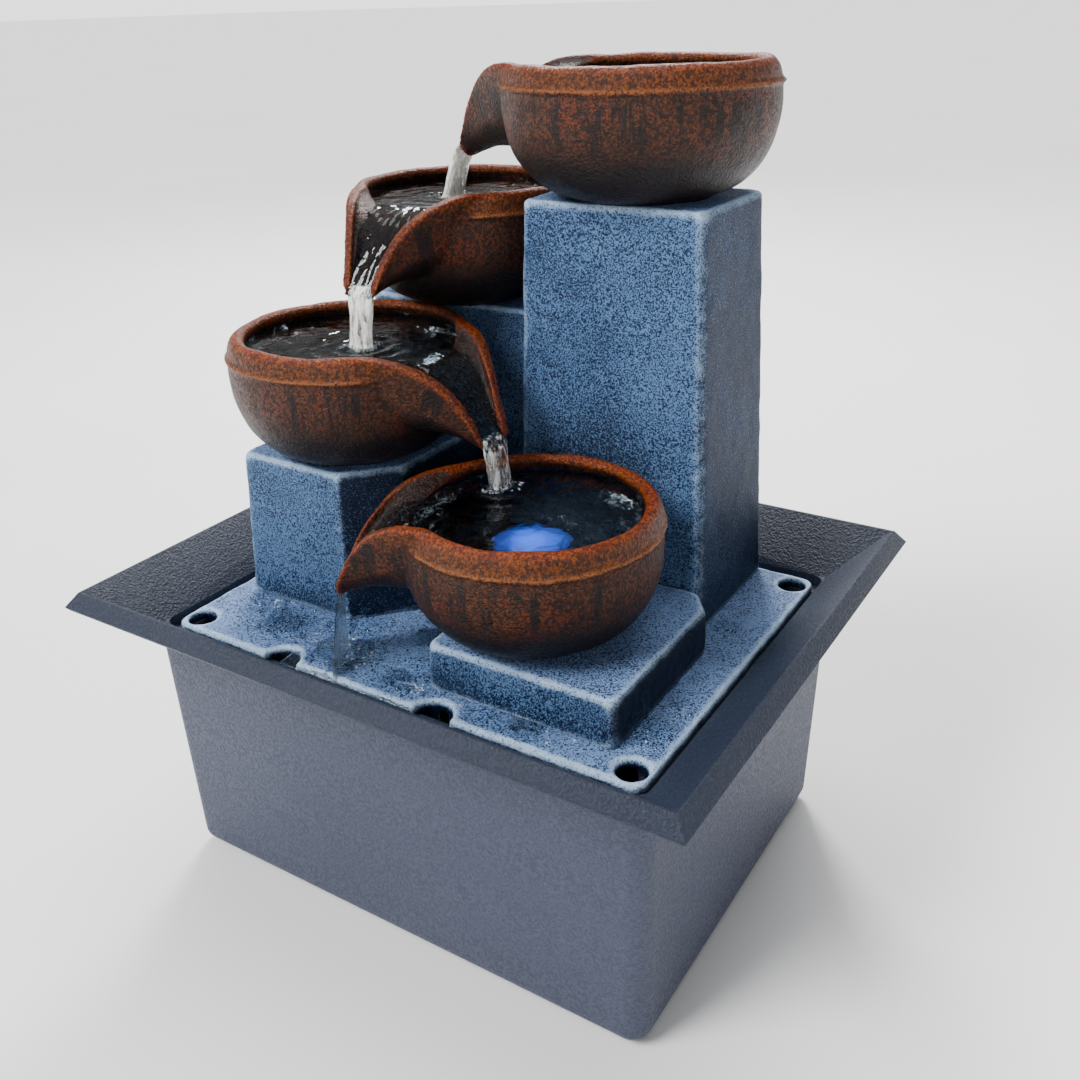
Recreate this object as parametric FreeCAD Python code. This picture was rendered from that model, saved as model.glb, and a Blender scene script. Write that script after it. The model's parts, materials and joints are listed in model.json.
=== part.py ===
import FreeCAD, Part
import math
import os

# A tabletop water fountain. A moulded basin holds the water and a small submersible pump.
# A cast deck drops onto a ledge inside the basin's rim. It carries four stepped blocks, each
# with a spouted bowl, and lifts off as one piece. Millimetres, +Z up, origin at the centre of
# the underside, front towards -Y.

V = FreeCAD.Vector
UP = V(0, 0, 1)
ALONG_X = V(1, 0, 0)

# ---- basin -------------------------------------------------------------------------------
PAD_H = 1.0                       # anti-slip pads under the basin
FLOOR_T = 2.5
FLOOR_TOP = PAD_H + FLOOR_T
BASE_HALF = (84.0, 64.0)          # outer wall at the bottom
WALL_TAPER = 3.4                  # how far the wall leans out up to the lip
WALL_CORNER_R = 6.0
BASE_EDGE_R = 5.0
LIP_HALF = (105.0, 85.0)          # outermost edge of the lip
LIP_EDGE_Z = 94.2
RIDGE_Z = 98.7
RIDGE_INSET = 3.3
LIP_UNDER_Z = 79.5                # where the lip's underside meets the wall
RECESS_HALF = (84.9, 64.9)        # pocket that the deck drops into
RECESS_Z = 84.9
LEDGE_Z = 81.2
LEDGE_HALF = (80.0, 59.8)
LEDGE_T = 3.4
WALL_T = 2.6

# ---- deck --------------------------------------------------------------------------------
DECK_HALF = (82.7, 62.4)
DECK_TOP = 84.7
DECK_CORNER_R = 4.0
RIB_HALF = (79.0, 58.8)           # locating rib under the deck
RIB_DEPTH = 6.0
RIB_T = 3.0
HOLE_R = 4.35
HOLE_AT = (77.0, 56.0)
NOTCH_R = 6.0
NOTCH_X = (-37.6, 18.5)
HOSE_PASSAGE_R = 9.0
LEAD_PASSAGE_R = 3.0

# ---- stepped blocks, as plan outlines at the deck ------------------------------------------
TALL = [(-1.0, 12.5), (64.0, 12.5), (64.0, 62.0), (-1.0, 62.0)]
BACK = [(-71.0, 30.0), (-1.4, 30.0), (-1.4, 62.0), (-81.0, 62.0), (-81.0, 51.0)]
FRONT = [(-76.0, -35.0), (-34.5, -35.0), (-19.5, -19.0), (-19.5, 29.6), (-76.0, 29.6)]
LOW = [(9.6, -52.4), (70.2, -52.4), (70.2, 3.4), (64.3, 12.3), (9.6, 12.3)]
TALL_TOP, BACK_TOP, FRONT_TOP, LOW_TOP = 211.0, 172.4, 133.8, 98.8
TALL_DRAFT, BACK_DRAFT, FRONT_DRAFT, LOW_DRAFT = 3.0, 1.0, 1.2, 0.4
SHELL_T = 3.0
CAP_T = 4.0
BLOCK_CORNER_R = 3.0
BLOCK_EDGE_R = 1.6

# ---- bowls ---------------------------------------------------------------------------------
BOWL_H = 38.5
BOWL_R = 38.2                     # widest radius, at BOWL_H; every bowl scales from these
FOOT_R = 21.0
BOWL_FLOOR = 4.5
BEAD_DROP = 6.6                   # raised line below the rim
BEAD_R = 0.7
SPOUT_WALL = 2.6
TOP_BOWL = {"at": (30.3, 37.5), "size": 1.052, "spout_deg": 180.0}
UPPER_BOWL = {"at": (-39.2, 45.8), "size": 1.0, "spout_deg": -90.0}
LOWER_BOWL = {"at": (-46.9, -8.6), "size": 1.0, "spout_deg": -6.0}
BOTTOM_BOWL = {"at": (30.1, -26.6), "size": 0.965, "spout_deg": 208.0}
# Spout, in the bowl's own frame: distance out, half width, then below the rim the top edge,
# the underside and the channel's floor, whose sill at the wall holds the pool's level
SPOUT = [(14.0, 26.0, 0.0, 27.0, 7.0), (30.0, 23.5, 0.0, 26.5, 7.0), (39.0, 18.5, 2.0, 26.0, 8.0),
         (47.0, 13.0, 7.5, 26.5, 14.5), (53.0, 9.0, 15.5, 28.0, 21.5),
         (57.5, 7.2, 25.0, 30.0, 27.4)]
CHANNEL_SAG, CHANNEL_FLAT = 0.28, 0.9

# ---- pump, its rotor along X, its outlet under the top bowl --------------------------------
CUP_H = 6.0
PUMP_Y = TOP_BOWL["at"][1]
OUTLET_X = TOP_BOWL["at"][0]
PUMP_BOTTOM = FLOOR_TOP + CUP_H
PUMP_H, PUMP_HALF_W = 36.0, 17.5
PUMP_TOP = PUMP_BOTTOM + PUMP_H
MOTOR_X = (-10.0, 24.0)
VOLUTE_X = (24.0, 38.0)
COVER_X = (38.0, 52.0)
ROTOR_Z = PUMP_BOTTOM + 21.5
WELL_R, WELL_X0 = 7.2, -2.0
CHAMBER_R, CHAMBER_X1 = 11.5, 33.0
INLET_R = 6.0
SHAFT_R, SHAFT_PLAY = 1.0, 0.05
MAGNET_R, MAGNET_X = 5.6, (1.0, 19.0)
IMPELLER_R, IMPELLER_X = 9.5, (19.0, 31.5)
NOZZLE_R, NOZZLE_BORE_R, NOZZLE_TOP = 4.0, 2.8, 62.0
COVER_T, COVER_PLAY = 1.8, 0.3
SLIDER_TRAVEL = 6.0

# ---- riser ---------------------------------------------------------------------------------
HOSE_R, HOSE_BORE_R = 5.5, 4.08
HOSE_BOTTOM = 50.0
SPIGOT_R = 5.0
SPIGOT_BORE_R = 2.8
NUT_FLATS, NUT_T = 16.0, 5.0

# ---- light ---------------------------------------------------------------------------------
PUCK_R, PUCK_H, PUCK_WALL = 14.0, 9.0, 1.6
LEAD_R, LEAD_BEND_R, LEAD_Z = 1.25, 8.8, 70.0
SOCKET_AT = (-2.0, PUMP_Y)
SOCKET_R, SOCKET_H, SOCKET_BORE_R = 5.0, 10.0, 3.1
PLUG_R, PLUG_H, PLUG_GAP = 3.0, 15.0, 0.4
LEAD_SEAT = 4.0                   # length of lead held in the plug

# ---- cord exit in the rear wall ------------------------------------------------------------
GROMMET_AT = (-50.0, 67.5)        # x, z
GROMMET_Y = (62.4, 68.6)          # faces of the boss that it sits in
FIT = 0.12                        # radial room around the grommet, spigot and lamp lead
GROMMET_NECK_R, GROMMET_FLANGE_R, GROMMET_BORE_R, GROMMET_FLANGE_T = 5.0, 7.0, 2.6, 1.2


# ---- building blocks -----------------------------------------------------------------------
def cylinder(r, h, at, axis=UP):
    return Part.makeCylinder(r, h, V(*at), axis)


def ring(r_outer, r_inner, h, at, axis=UP):
    return cylinder(r_outer, h, at, axis).cut(cylinder(r_inner, h, at, axis))


def slab(x, y, z):
    """Box between three pairs of limits."""
    return Part.makeBox(x[1] - x[0], y[1] - y[0], z[1] - z[0], V(x[0], y[0], z[0]))


def rect(half):
    hx, hy = half
    return [(-hx, -hy), (hx, -hy), (hx, hy), (-hx, hy)]


def inset(outline, d):
    """A convex outline, counter-clockwise, moved inwards by d on every side."""
    n, moved = len(outline), []
    for i in range(n):
        (ax, ay), (bx, by), (cx, cy) = outline[i - 1], outline[i], outline[(i + 1) % n]
        before, after = V(bx - ax, by - ay).normalize(), V(cx - bx, cy - by).normalize()
        n1, n2 = V(-before.y, before.x), V(-after.y, after.x)
        k = d / (1 + n1.dot(n2))
        moved.append((bx + k * (n1.x + n2.x), by + k * (n1.y + n2.y)))
    return moved


def taper(bottom, top, z0, z1):
    """Solid between two outlines of the same kind; every side face stays flat."""
    def wire(outline, z):
        points = [V(x, y, z) for x, y in outline]
        return Part.makePolygon(points + [points[0]])
    return Part.makeLoft([wire(bottom, z0), wire(top, z1)], True, True)


def round_edges(solid, radius, wanted):
    return solid.makeFillet(radius, [e for e in solid.Edges if wanted(e)])


def upright(edge):
    box = edge.BoundBox
    return box.ZLength > 0.8 * edge.Length


def level_at(z):
    return lambda edge: edge.BoundBox.ZLength < 0.01 and abs(edge.BoundBox.ZMin - z) < 0.01


def revolve(points, curve_from=None, curve_to=None):
    """Solid of revolution about Z from (r, z) points; a span of them is one smooth curve."""
    edges, i = [], 0
    at = [V(r, 0, z) for r, z in points]
    while i < len(at) - 1:
        if i == curve_from:
            curve = Part.BSplineCurve()
            curve.interpolate(at[curve_from:curve_to + 1])
            edges.append(curve.toShape())
            i = curve_to
        else:
            edges.append(Part.makeLine(at[i], at[i + 1]))
            i += 1
    edges.append(Part.makeLine(at[-1], at[0]))
    face = Part.Face(Part.Wire(edges))
    return face.revolve(V(0, 0, 0), UP, 360)


def place(shape, at, turn_deg=0.0):
    moved = shape.copy()
    moved.rotate(V(0, 0, 0), UP, turn_deg)
    moved.translate(V(*at))
    return moved


def one_solid(shape):
    """The single solid of a fused or cut shape, with coplanar faces joined."""
    clean = shape.removeSplitter()
    assert len(clean.Solids) == 1, f"{len(clean.Solids)} solids"
    return clean.Solids[0]


# ---- basin and its fittings ----------------------------------------------------------------
def basin():
    lip_half = [(LIP_HALF[0] - 0.9, LIP_HALF[1] - 0.9), LIP_HALF]
    ridge = (LIP_HALF[0] - RIDGE_INSET, LIP_HALF[1] - RIDGE_INSET)
    wall_top = (BASE_HALF[0] + WALL_TAPER, BASE_HALF[1] + WALL_TAPER)
    share = (LIP_UNDER_Z - PAD_H) / (RECESS_Z - PAD_H)
    under = (BASE_HALF[0] + WALL_TAPER * share, BASE_HALF[1] + WALL_TAPER * share)
    tub = taper(rect(BASE_HALF), rect(wall_top), PAD_H, RECESS_Z)
    tub = round_edges(tub, WALL_CORNER_R, upright)
    tub = round_edges(tub, BASE_EDGE_R, level_at(PAD_H))
    lip = taper(rect(under), rect(lip_half[0]), LIP_UNDER_Z, LIP_EDGE_Z - 1.2)
    lip = lip.fuse(taper(rect(lip_half[0]), rect(lip_half[1]), LIP_EDGE_Z - 1.2, LIP_EDGE_Z))
    lip = lip.fuse(taper(rect(lip_half[1]), rect(ridge), LIP_EDGE_Z, RIDGE_Z)).removeSplitter()
    crest = (ridge[0] - 0.8, ridge[1] - 0.8)
    slope = taper(rect(RECESS_HALF), rect(crest), RECESS_Z, RIDGE_Z)
    recess = taper(rect(RECESS_HALF), rect(RECESS_HALF), LEDGE_Z, RECESS_Z)
    recess = round_edges(recess, DECK_CORNER_R, upright)
    opening = taper(rect(LEDGE_HALF), rect(LEDGE_HALF), LEDGE_Z - LEDGE_T, LEDGE_Z)
    cavity_top = (wall_top[0] - WALL_T - 0.5, wall_top[1] - WALL_T - 0.5)
    cavity_z = LEDGE_Z - LEDGE_T - (cavity_top[0] - LEDGE_HALF[0])
    haunch = taper(rect(cavity_top), rect(LEDGE_HALF), cavity_z, LEDGE_Z - LEDGE_T)
    cavity_base = (BASE_HALF[0] - WALL_T, BASE_HALF[1] - WALL_T)
    cavity = taper(rect(cavity_base), rect(cavity_top), FLOOR_TOP, cavity_z)
    cavity = round_edges(cavity, WALL_CORNER_R - WALL_T, upright)
    cavity = round_edges(cavity, 3.0, level_at(FLOOR_TOP))
    gx, gz = GROMMET_AT
    boss = cylinder(GROMMET_FLANGE_R + 1.5, GROMMET_Y[1] - GROMMET_Y[0],
                    (gx, GROMMET_Y[0], gz), V(0, 1, 0))
    hole = cylinder(GROMMET_NECK_R + FIT, GROMMET_Y[1] - GROMMET_Y[0], (gx, GROMMET_Y[0], gz), V(0, 1, 0))
    body = tub.fuse(lip)
    for hollow in (slope, recess, opening, haunch, cavity):
        body = body.cut(hollow)
    return one_solid(body.fuse(boss).cut(hole))


def foot_pads():
    x, y, r = BASE_HALF[0] - 16, BASE_HALF[1] - 16, 7.0
    return Part.makeCompound([cylinder(r, PAD_H, (sx * x, sy * y, 0))
                              for sx in (-1, 1) for sy in (-1, 1)])


def cord_grommet():
    gx, gz = GROMMET_AT
    y0, y1 = GROMMET_Y
    toward_rear = V(0, 1, 0)
    neck = cylinder(GROMMET_NECK_R, y1 - y0, (gx, y0, gz), toward_rear)
    inner = cylinder(GROMMET_FLANGE_R, GROMMET_FLANGE_T, (gx, y0 - GROMMET_FLANGE_T, gz), toward_rear)
    outer = cylinder(GROMMET_FLANGE_R, GROMMET_FLANGE_T, (gx, y1, gz), toward_rear)
    bore = cylinder(GROMMET_BORE_R, 30, (gx, y0 - 10, gz), toward_rear)
    return one_solid(neck.fuse([inner, outer]).cut(bore))


# ---- deck and blocks -----------------------------------------------------------------------
def deck_plate():
    plate = taper(rect(DECK_HALF), rect(DECK_HALF), LEDGE_Z, DECK_TOP)
    plate = round_edges(plate, DECK_CORNER_R, upright)
    plate = round_edges(plate, 1.0, level_at(DECK_TOP))
    inner = (RIB_HALF[0] - RIB_T, RIB_HALF[1] - RIB_T)
    rib = taper(rect(RIB_HALF), rect(RIB_HALF), LEDGE_Z - RIB_DEPTH, LEDGE_Z)
    rib = round_edges(rib, 2.0, upright)
    rib = rib.cut(taper(rect(inner), rect(inner), LEDGE_Z - RIB_DEPTH, LEDGE_Z))
    plate = plate.fuse(rib)
    depth = DECK_TOP - LEDGE_Z + RIB_DEPTH
    floor = LEDGE_Z - RIB_DEPTH
    cuts = [cylinder(HOLE_R, depth, (sx * HOLE_AT[0], sy * HOLE_AT[1], floor))
            for sx in (-1, 1) for sy in (-1, 1)]
    cuts += [cylinder(NOTCH_R, depth, (x, -DECK_HALF[1] + 0.6, floor)) for x in NOTCH_X]
    cuts.append(cylinder(HOSE_PASSAGE_R, depth, (*TOP_BOWL["at"], floor)))
    cuts.append(cylinder(LEAD_PASSAGE_R, depth, (*BOTTOM_BOWL["at"], floor)))
    return one_solid(plate.cut(cuts))


def block(outline, top, draft, drilled=None):
    """Hollow cast block, open below, whose sides lean in by draft up to its top.
    drilled is (x, y, r) of a hole through its cap."""
    share = (top - CAP_T - DECK_TOP) / (top - DECK_TOP)
    outer = taper(outline, inset(outline, draft), DECK_TOP, top)
    outer = round_edges(outer, BLOCK_CORNER_R, upright)
    outer = round_edges(outer, BLOCK_EDGE_R, level_at(top))
    hollow = taper(inset(outline, SHELL_T), inset(outline, SHELL_T + draft * share),
                   DECK_TOP, top - CAP_T)
    hollow = round_edges(hollow, 2.0, upright)
    shell = outer.cut(hollow)
    if drilled:
        x, y, r = drilled
        shell = shell.cut(cylinder(r, CAP_T + 2, (x, y, top - CAP_T - 1)))
    return one_solid(shell)


# ---- bowls ---------------------------------------------------------------------------------
def spout_section(reach, half, top, floor, sag=0.55, flat=0.82):
    """One U-shaped cross-section, closed over its top. sag and flat shape its round bottom."""
    shoulder = floor + sag * half
    a, b = V(reach, -half, top), V(reach, -flat * half, shoulder)
    c, d, low = V(reach, flat * half, shoulder), V(reach, half, top), V(reach, 0, floor)
    return Part.Wire([Part.makeLine(a, b), Part.Arc(b, low, c).toShape(),
                      Part.makeLine(c, d), Part.makeLine(d, a)])


def bowl(size, spout_deg, at, foot_z, drilled=0.0):
    """Round pot with a rolled rim, a bead below it and a broad spout that turns down."""
    k, top = size, BOWL_H
    outer = [(0, 0), (FOOT_R, 0), (FOOT_R, 0.6), (25.0, 2.0), (31.0, 6.5), (35.4, 13.0),
             (37.6, 20.0), (BOWL_R, 27.0), (37.9, top - 6.0), (37.2, top - 2.4),
             (35.4, top - 0.2), (34.6, top), (0, top)]
    inner = [(0, BOWL_FLOOR), (20.0, BOWL_FLOOR), (27.6, 8.4), (31.8, 14.6), (33.9, 21.5),
             (34.4, 28.5), (33.6, top - 4.0), (32.6, top - 1.6), (33.6, top - 0.3),
             (34.6, top), (34.6, top + 1), (0, top + 1)]
    body = revolve(outer, 2, 11)
    body = body.fuse(Part.makeTorus(37.95, BEAD_R, V(0, 0, top - BEAD_DROP), UP))
    hollow = revolve(inner, 1, 9)
    trough = [spout_section(s, w, top - t, top - f) for s, w, t, f, _ in SPOUT]
    channel = [spout_section(s, w - SPOUT_WALL, top + 6, top - c, CHANNEL_SAG, CHANNEL_FLAT)
               for s, w, _, _, c in SPOUT]
    last = SPOUT[-1]
    channel.append(spout_section(last[0] + 4, last[1] - SPOUT_WALL, top + 6, top - last[4],
                                 CHANNEL_SAG, CHANNEL_FLAT))
    body = body.fuse(Part.makeLoft(trough, True, False))
    hollow = hollow.fuse(Part.makeLoft(channel, True, False))
    pot = body.cut(hollow)
    pot = pot.cut(cylinder(FOOT_R - 4, 1.0, (0, 0, 0)))
    if drilled:
        pot = pot.cut(cylinder(drilled / k, BOWL_FLOOR + 2, (0, 0, -1)))
    scale = FreeCAD.Matrix()
    scale.scale(k, k, 1)
    pot = pot.transformGeometry(scale) if k != 1 else pot
    return one_solid(place(pot, (*at, foot_z), spout_deg))


# ---- pump ----------------------------------------------------------------------------------
def pump_block(x):
    body = slab(x, (PUMP_Y - PUMP_HALF_W, PUMP_Y + PUMP_HALF_W), (PUMP_BOTTOM, PUMP_TOP))
    return round_edges(body, 3.0, lambda e: e.BoundBox.XLength > 0.8 * e.Length)


def stator_core():
    """U-shaped lamination stack whose two pole shoes hug the rotor well."""
    leg, reach, thick = 5.5, 15.0, (3.0, 17.0)
    bottom = PUMP_BOTTOM + 2.5
    outline = slab(thick, (PUMP_Y - reach, PUMP_Y + reach), (bottom, ROTOR_Z + 8))
    gap = slab(thick, (PUMP_Y - reach + leg, PUMP_Y + reach - leg), (bottom + 4.0, ROTOR_Z - 6.0))
    bore = cylinder(WELL_R + 1.0, 20, (0, PUMP_Y, ROTOR_Z), ALONG_X)
    slot = slab(thick, (PUMP_Y - 1.5, PUMP_Y + 1.5), (ROTOR_Z - 10, ROTOR_Z + 10))
    core = outline.cut(gap).cut(bore).cut(slot)
    return one_solid(core)


def coil_boxes():
    """Outer and inner limits of the two windings, one round each leg."""
    reach, leg, z = 15.0, 5.5, (PUMP_BOTTOM + 7.2, ROTOR_Z - 7.2)
    for side in (-1, 1):
        y = sorted((PUMP_Y + side * reach, PUMP_Y + side * (reach - leg)))
        outer = slab((0.4, 19.6), (y[0] - 2.0, y[1] + 2.0), z)
        yield outer, slab((3.0, 17.0), (y[0], y[1]), z)


def stator_coils():
    return Part.makeCompound([outer.cut(inner) for outer, inner in coil_boxes()])


def cup_places():
    return [(x, PUMP_Y + side * 11.0) for x in (MOTOR_X[0] + 6, VOLUTE_X[1] - 6) for side in (-1, 1)]


def cup_sockets():
    return [cylinder(1.8, 2.0, (x, y, PUMP_BOTTOM)) for x, y in cup_places()]


def suction_cups():
    profile = [(0, 1.6), (4.0, 1.0), (6.6, 0.0), (7.0, 0.0), (5.0, 2.6), (3.2, 4.2),
               (3.2, CUP_H), (1.8, CUP_H), (1.8, CUP_H + 2.0), (0, CUP_H + 2.0)]
    cup = revolve(profile)
    return Part.makeCompound([place(cup, (x, y, FLOOR_TOP)) for x, y in cup_places()])


def pump_housing():
    body = pump_block(MOTOR_X)
    well = cylinder(WELL_R, MOTOR_X[1] - WELL_X0, (WELL_X0, PUMP_Y, ROTOR_Z), ALONG_X)
    body = body.cut([well, stator_core(), stator_coils()] + cup_sockets())
    rear_hole = cylinder(3.0, 4.0, (MOTOR_X[0], PUMP_Y + 8, PUMP_BOTTOM + 9), ALONG_X)
    return one_solid(body.cut(rear_hole))


def pump_lead_gland():
    at = (MOTOR_X[0], PUMP_Y + 8, PUMP_BOTTOM + 9)
    back = V(-1, 0, 0)
    sleeve = Part.makeCone(4.2, 3.3, 9.0, V(*at), back)
    stub = cylinder(3.0, 4.0, at, ALONG_X)
    bore = cylinder(2.1, 11.0, (at[0] - 9.0, at[1], at[2]), ALONG_X)
    return one_solid(sleeve.fuse(stub).cut(bore))


def volute_cover():
    """Front half of the pump: chamber, outlet nozzle and the spider that holds the shaft."""
    body = pump_block(VOLUTE_X)
    chamber = cylinder(CHAMBER_R, CHAMBER_X1 - VOLUTE_X[0], (VOLUTE_X[0], PUMP_Y, ROTOR_Z), ALONG_X)
    inlet = cylinder(INLET_R, 20, (VOLUTE_X[0], PUMP_Y, ROTOR_Z), ALONG_X)
    nozzle = cylinder(NOZZLE_R, NOZZLE_TOP - PUMP_TOP + 2, (OUTLET_X, PUMP_Y, PUMP_TOP - 2))
    bore = cylinder(NOZZLE_BORE_R, NOZZLE_TOP - ROTOR_Z - 8, (OUTLET_X, PUMP_Y, ROTOR_Z + 8))
    groove = ring(13.6, 12.2, 1.4, (VOLUTE_X[0], PUMP_Y, ROTOR_Z), ALONG_X)
    body = body.cut([chamber, inlet] + cup_sockets()).fuse(nozzle).cut([bore, groove])
    hub = ring(3.0, 2.0, 3.0, (CHAMBER_X1 + 0.5, PUMP_Y, ROTOR_Z), ALONG_X)
    for turn in (90, 210, 330):
        arm = slab((CHAMBER_X1 + 0.5, CHAMBER_X1 + 3.5), (PUMP_Y + 2.6, PUMP_Y + INLET_R + 0.8),
                   (ROTOR_Z - 0.7, ROTOR_Z + 0.7))
        arm.rotate(V(0, PUMP_Y, ROTOR_Z), ALONG_X, turn)
        hub = hub.fuse(arm)
    return one_solid(body.fuse(hub))


def volute_seal():
    return Part.makeTorus(12.9, 0.65, V(VOLUTE_X[0] + 0.65, PUMP_Y, ROTOR_Z), ALONG_X)


def rotor_shaft():
    return cylinder(SHAFT_R, CHAMBER_X1 + 3.5 - WELL_X0, (WELL_X0, PUMP_Y, ROTOR_Z), ALONG_X)


def rear_bushing():
    return ring(WELL_R, SHAFT_R, 2.4, (WELL_X0, PUMP_Y, ROTOR_Z), ALONG_X)


def front_bushing():
    return ring(2.0, SHAFT_R, 3.0, (CHAMBER_X1 + 0.5, PUMP_Y, ROTOR_Z), ALONG_X)


def rotor_magnet():
    return ring(MAGNET_R, 2.4, MAGNET_X[1] - MAGNET_X[0], (MAGNET_X[0], PUMP_Y, ROTOR_Z), ALONG_X)


def impeller():
    """Hub through the magnet, a back disc and six straight vanes."""
    x0, x1 = IMPELLER_X
    hub = cylinder(2.4, x1 - MAGNET_X[0], (MAGNET_X[0], PUMP_Y, ROTOR_Z), ALONG_X)
    collar = cylinder(MAGNET_R, 5.4, (x0, PUMP_Y, ROTOR_Z), ALONG_X)
    disc = cylinder(IMPELLER_R, 1.4, (x0 + 5.4, PUMP_Y, ROTOR_Z), ALONG_X)
    vane = slab((x0 + 5.4, x1), (PUMP_Y + 1.5, PUMP_Y + IMPELLER_R - 0.2), (ROTOR_Z - 0.6, ROTOR_Z + 0.6))
    wheel = hub.fuse([collar, disc])
    for i in range(6):
        blade = vane.copy()
        blade.rotate(V(0, PUMP_Y, ROTOR_Z), ALONG_X, 60 * i)
        wheel = wheel.fuse(blade)
    bore = cylinder(SHAFT_R + SHAFT_PLAY, 60, (-10, PUMP_Y, ROTOR_Z), ALONG_X)
    return one_solid(wheel.cut(bore))


def intake_cover():
    """Slotted cap over the intake. It pulls off along +X for cleaning."""
    x0, x1 = COVER_X[0] + COVER_PLAY, COVER_X[1]
    cap = pump_block((x0, x1))
    inside = slab((x0, x1 - COVER_T), (PUMP_Y - PUMP_HALF_W + COVER_T, PUMP_Y + PUMP_HALF_W - COVER_T),
                  (PUMP_BOTTOM + COVER_T, PUMP_TOP - COVER_T))
    cap = cap.cut(inside)
    slots = [slab((x1 - COVER_T - 1, x1 + 1), (PUMP_Y + y - 1.0, PUMP_Y + y + 1.0),
                  (PUMP_BOTTOM + 6, PUMP_TOP - 6)) for y in (-12, -8, -4, 4, 8, 12)]
    knob_slot = slab((x1 - COVER_T - 1, x1 + 1), (PUMP_Y - 1.3, PUMP_Y + 1.3),
                     (ROTOR_Z - 6.0, ROTOR_Z + 6.0))
    return one_solid(cap.cut(slots + [knob_slot]))


def filter_sponge():
    x0 = COVER_X[0] + COVER_PLAY + 0.3
    return slab((x0, x0 + 8.0), (PUMP_Y - 15.2, PUMP_Y + 15.2), (PUMP_BOTTOM + 2.2, PUMP_TOP - 2.2))


def flow_slider():
    """Shutter behind the slots, with a knob that pokes through the cap."""
    x1 = COVER_X[1] - COVER_T - 0.3
    plate = slab((x1 - 1.6, x1), (PUMP_Y - 13.6, PUMP_Y + 13.6), (ROTOR_Z - 11, ROTOR_Z + 4))
    windows = [slab((x1 - 2, x1 + 1), (PUMP_Y + y - 0.9, PUMP_Y + y + 0.9), (ROTOR_Z - 9, ROTOR_Z + 2))
               for y in (-12, -8, -4, 4, 8, 12)]
    z = ROTOR_Z - SLIDER_TRAVEL / 2
    stem = slab((x1 - 1.0, COVER_X[1] + 1.5), (PUMP_Y - 1.0, PUMP_Y + 1.0), (z - 1.4, z + 1.4))
    knob = slab((COVER_X[1] + 0.4, COVER_X[1] + 2.6), (PUMP_Y - 2.6, PUMP_Y + 2.6), (z - 2.2, z + 2.2))
    return one_solid(plate.cut(windows).fuse([stem, knob]))


# ---- riser ---------------------------------------------------------------------------------
def riser():
    """Spigot, washer, nut, hose and hose band, all on the axis of the top bowl."""
    x, y = TOP_BOWL["at"]
    floor, cap_under = TALL_TOP + BOWL_FLOOR, TALL_TOP - CAP_T
    washer = ring(8.0, SPIGOT_R, 1.0, (x, y, floor))
    flange = cylinder(8.0, 2.0, (x, y, floor + 1.0))
    neck = cylinder(SPIGOT_R, floor + 12.0 - cap_under + NUT_T, (x, y, cap_under - NUT_T))
    barb = cylinder(HOSE_BORE_R, 16.0, (x, y, cap_under - NUT_T - 16.0))
    bore = cylinder(SPIGOT_BORE_R, 60, (x, y, cap_under - 30))
    spigot = one_solid(flange.fuse([neck, barb]).cut(bore))
    corner = NUT_FLATS / math.sqrt(3)
    hexagon = [V(x + corner * math.cos(math.radians(60 * i)),
                 y + corner * math.sin(math.radians(60 * i)), cap_under - NUT_T) for i in range(7)]
    nut = Part.Face(Part.makePolygon(hexagon)).extrude(V(0, 0, NUT_T))
    nut = one_solid(nut.cut(cylinder(SPIGOT_R, NUT_T, (x, y, cap_under - NUT_T))))
    hose_top = cap_under - NUT_T
    hose = ring(HOSE_R, HOSE_BORE_R, hose_top - HOSE_BOTTOM, (x, y, HOSE_BOTTOM))
    band = ring(HOSE_R + 0.8, HOSE_R, 5.0, (x, y, hose_top - 9.0))
    ears = slab((x + HOSE_R + 0.4, x + HOSE_R + 5.0), (y - 2.0, y - 0.8), (hose_top - 9.0, hose_top - 4.0))
    ears = ears.fuse(slab((x + HOSE_R + 0.4, x + HOSE_R + 5.0), (y + 0.8, y + 2.0),
                          (hose_top - 9.0, hose_top - 4.0)))
    return {"inlet_spigot": spigot, "inlet_washer": washer, "inlet_nut": nut,
            "riser_hose": hose, "hose_band": one_solid(band.fuse(ears))}


# ---- light in the bottom bowl --------------------------------------------------------------
def light():
    x, y = BOTTOM_BOWL["at"]
    z = LOW_TOP + BOWL_FLOOR
    cup = cylinder(PUCK_R, PUCK_H, (x, y, z))
    cup = cup.cut(cylinder(PUCK_R - PUCK_WALL, PUCK_H, (x, y, z + 2.0)))
    cup = cup.cut(cylinder(LEAD_R + FIT, 4.0, (x, y, z - 1)))
    shoulder = ring(PUCK_R - PUCK_WALL, PUCK_R - PUCK_WALL - 1.4, 3.0, (x, y, z + 2.0))
    board = cylinder(PUCK_R - PUCK_WALL, 1.2, (x, y, z + 5.0))
    for i in range(4):
        a = math.radians(45 + 90 * i)
        board = board.fuse(Part.makeSphere(1.5, V(x + 6 * math.cos(a), y + 6 * math.sin(a), z + 6.2)))
    lens = cylinder(PUCK_R - PUCK_WALL - 1.4, 1.2, (x, y, z + PUCK_H - 1.2))
    dome = Part.makeSphere(30.0, V(x, y, z + PUCK_H - 27.4)).common(
        cylinder(PUCK_R - PUCK_WALL - 1.4, 6.0, (x, y, z + PUCK_H)))
    seal = ring(PUCK_R - PUCK_WALL, PUCK_R - PUCK_WALL - 1.4, 1.2, (x, y, z + PUCK_H - 1.2))
    return {"led_housing": one_solid(cup.fuse(shoulder)), "led_board": one_solid(board),
            "led_lens": one_solid(lens.fuse(dome)), "led_seal": seal}


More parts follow.
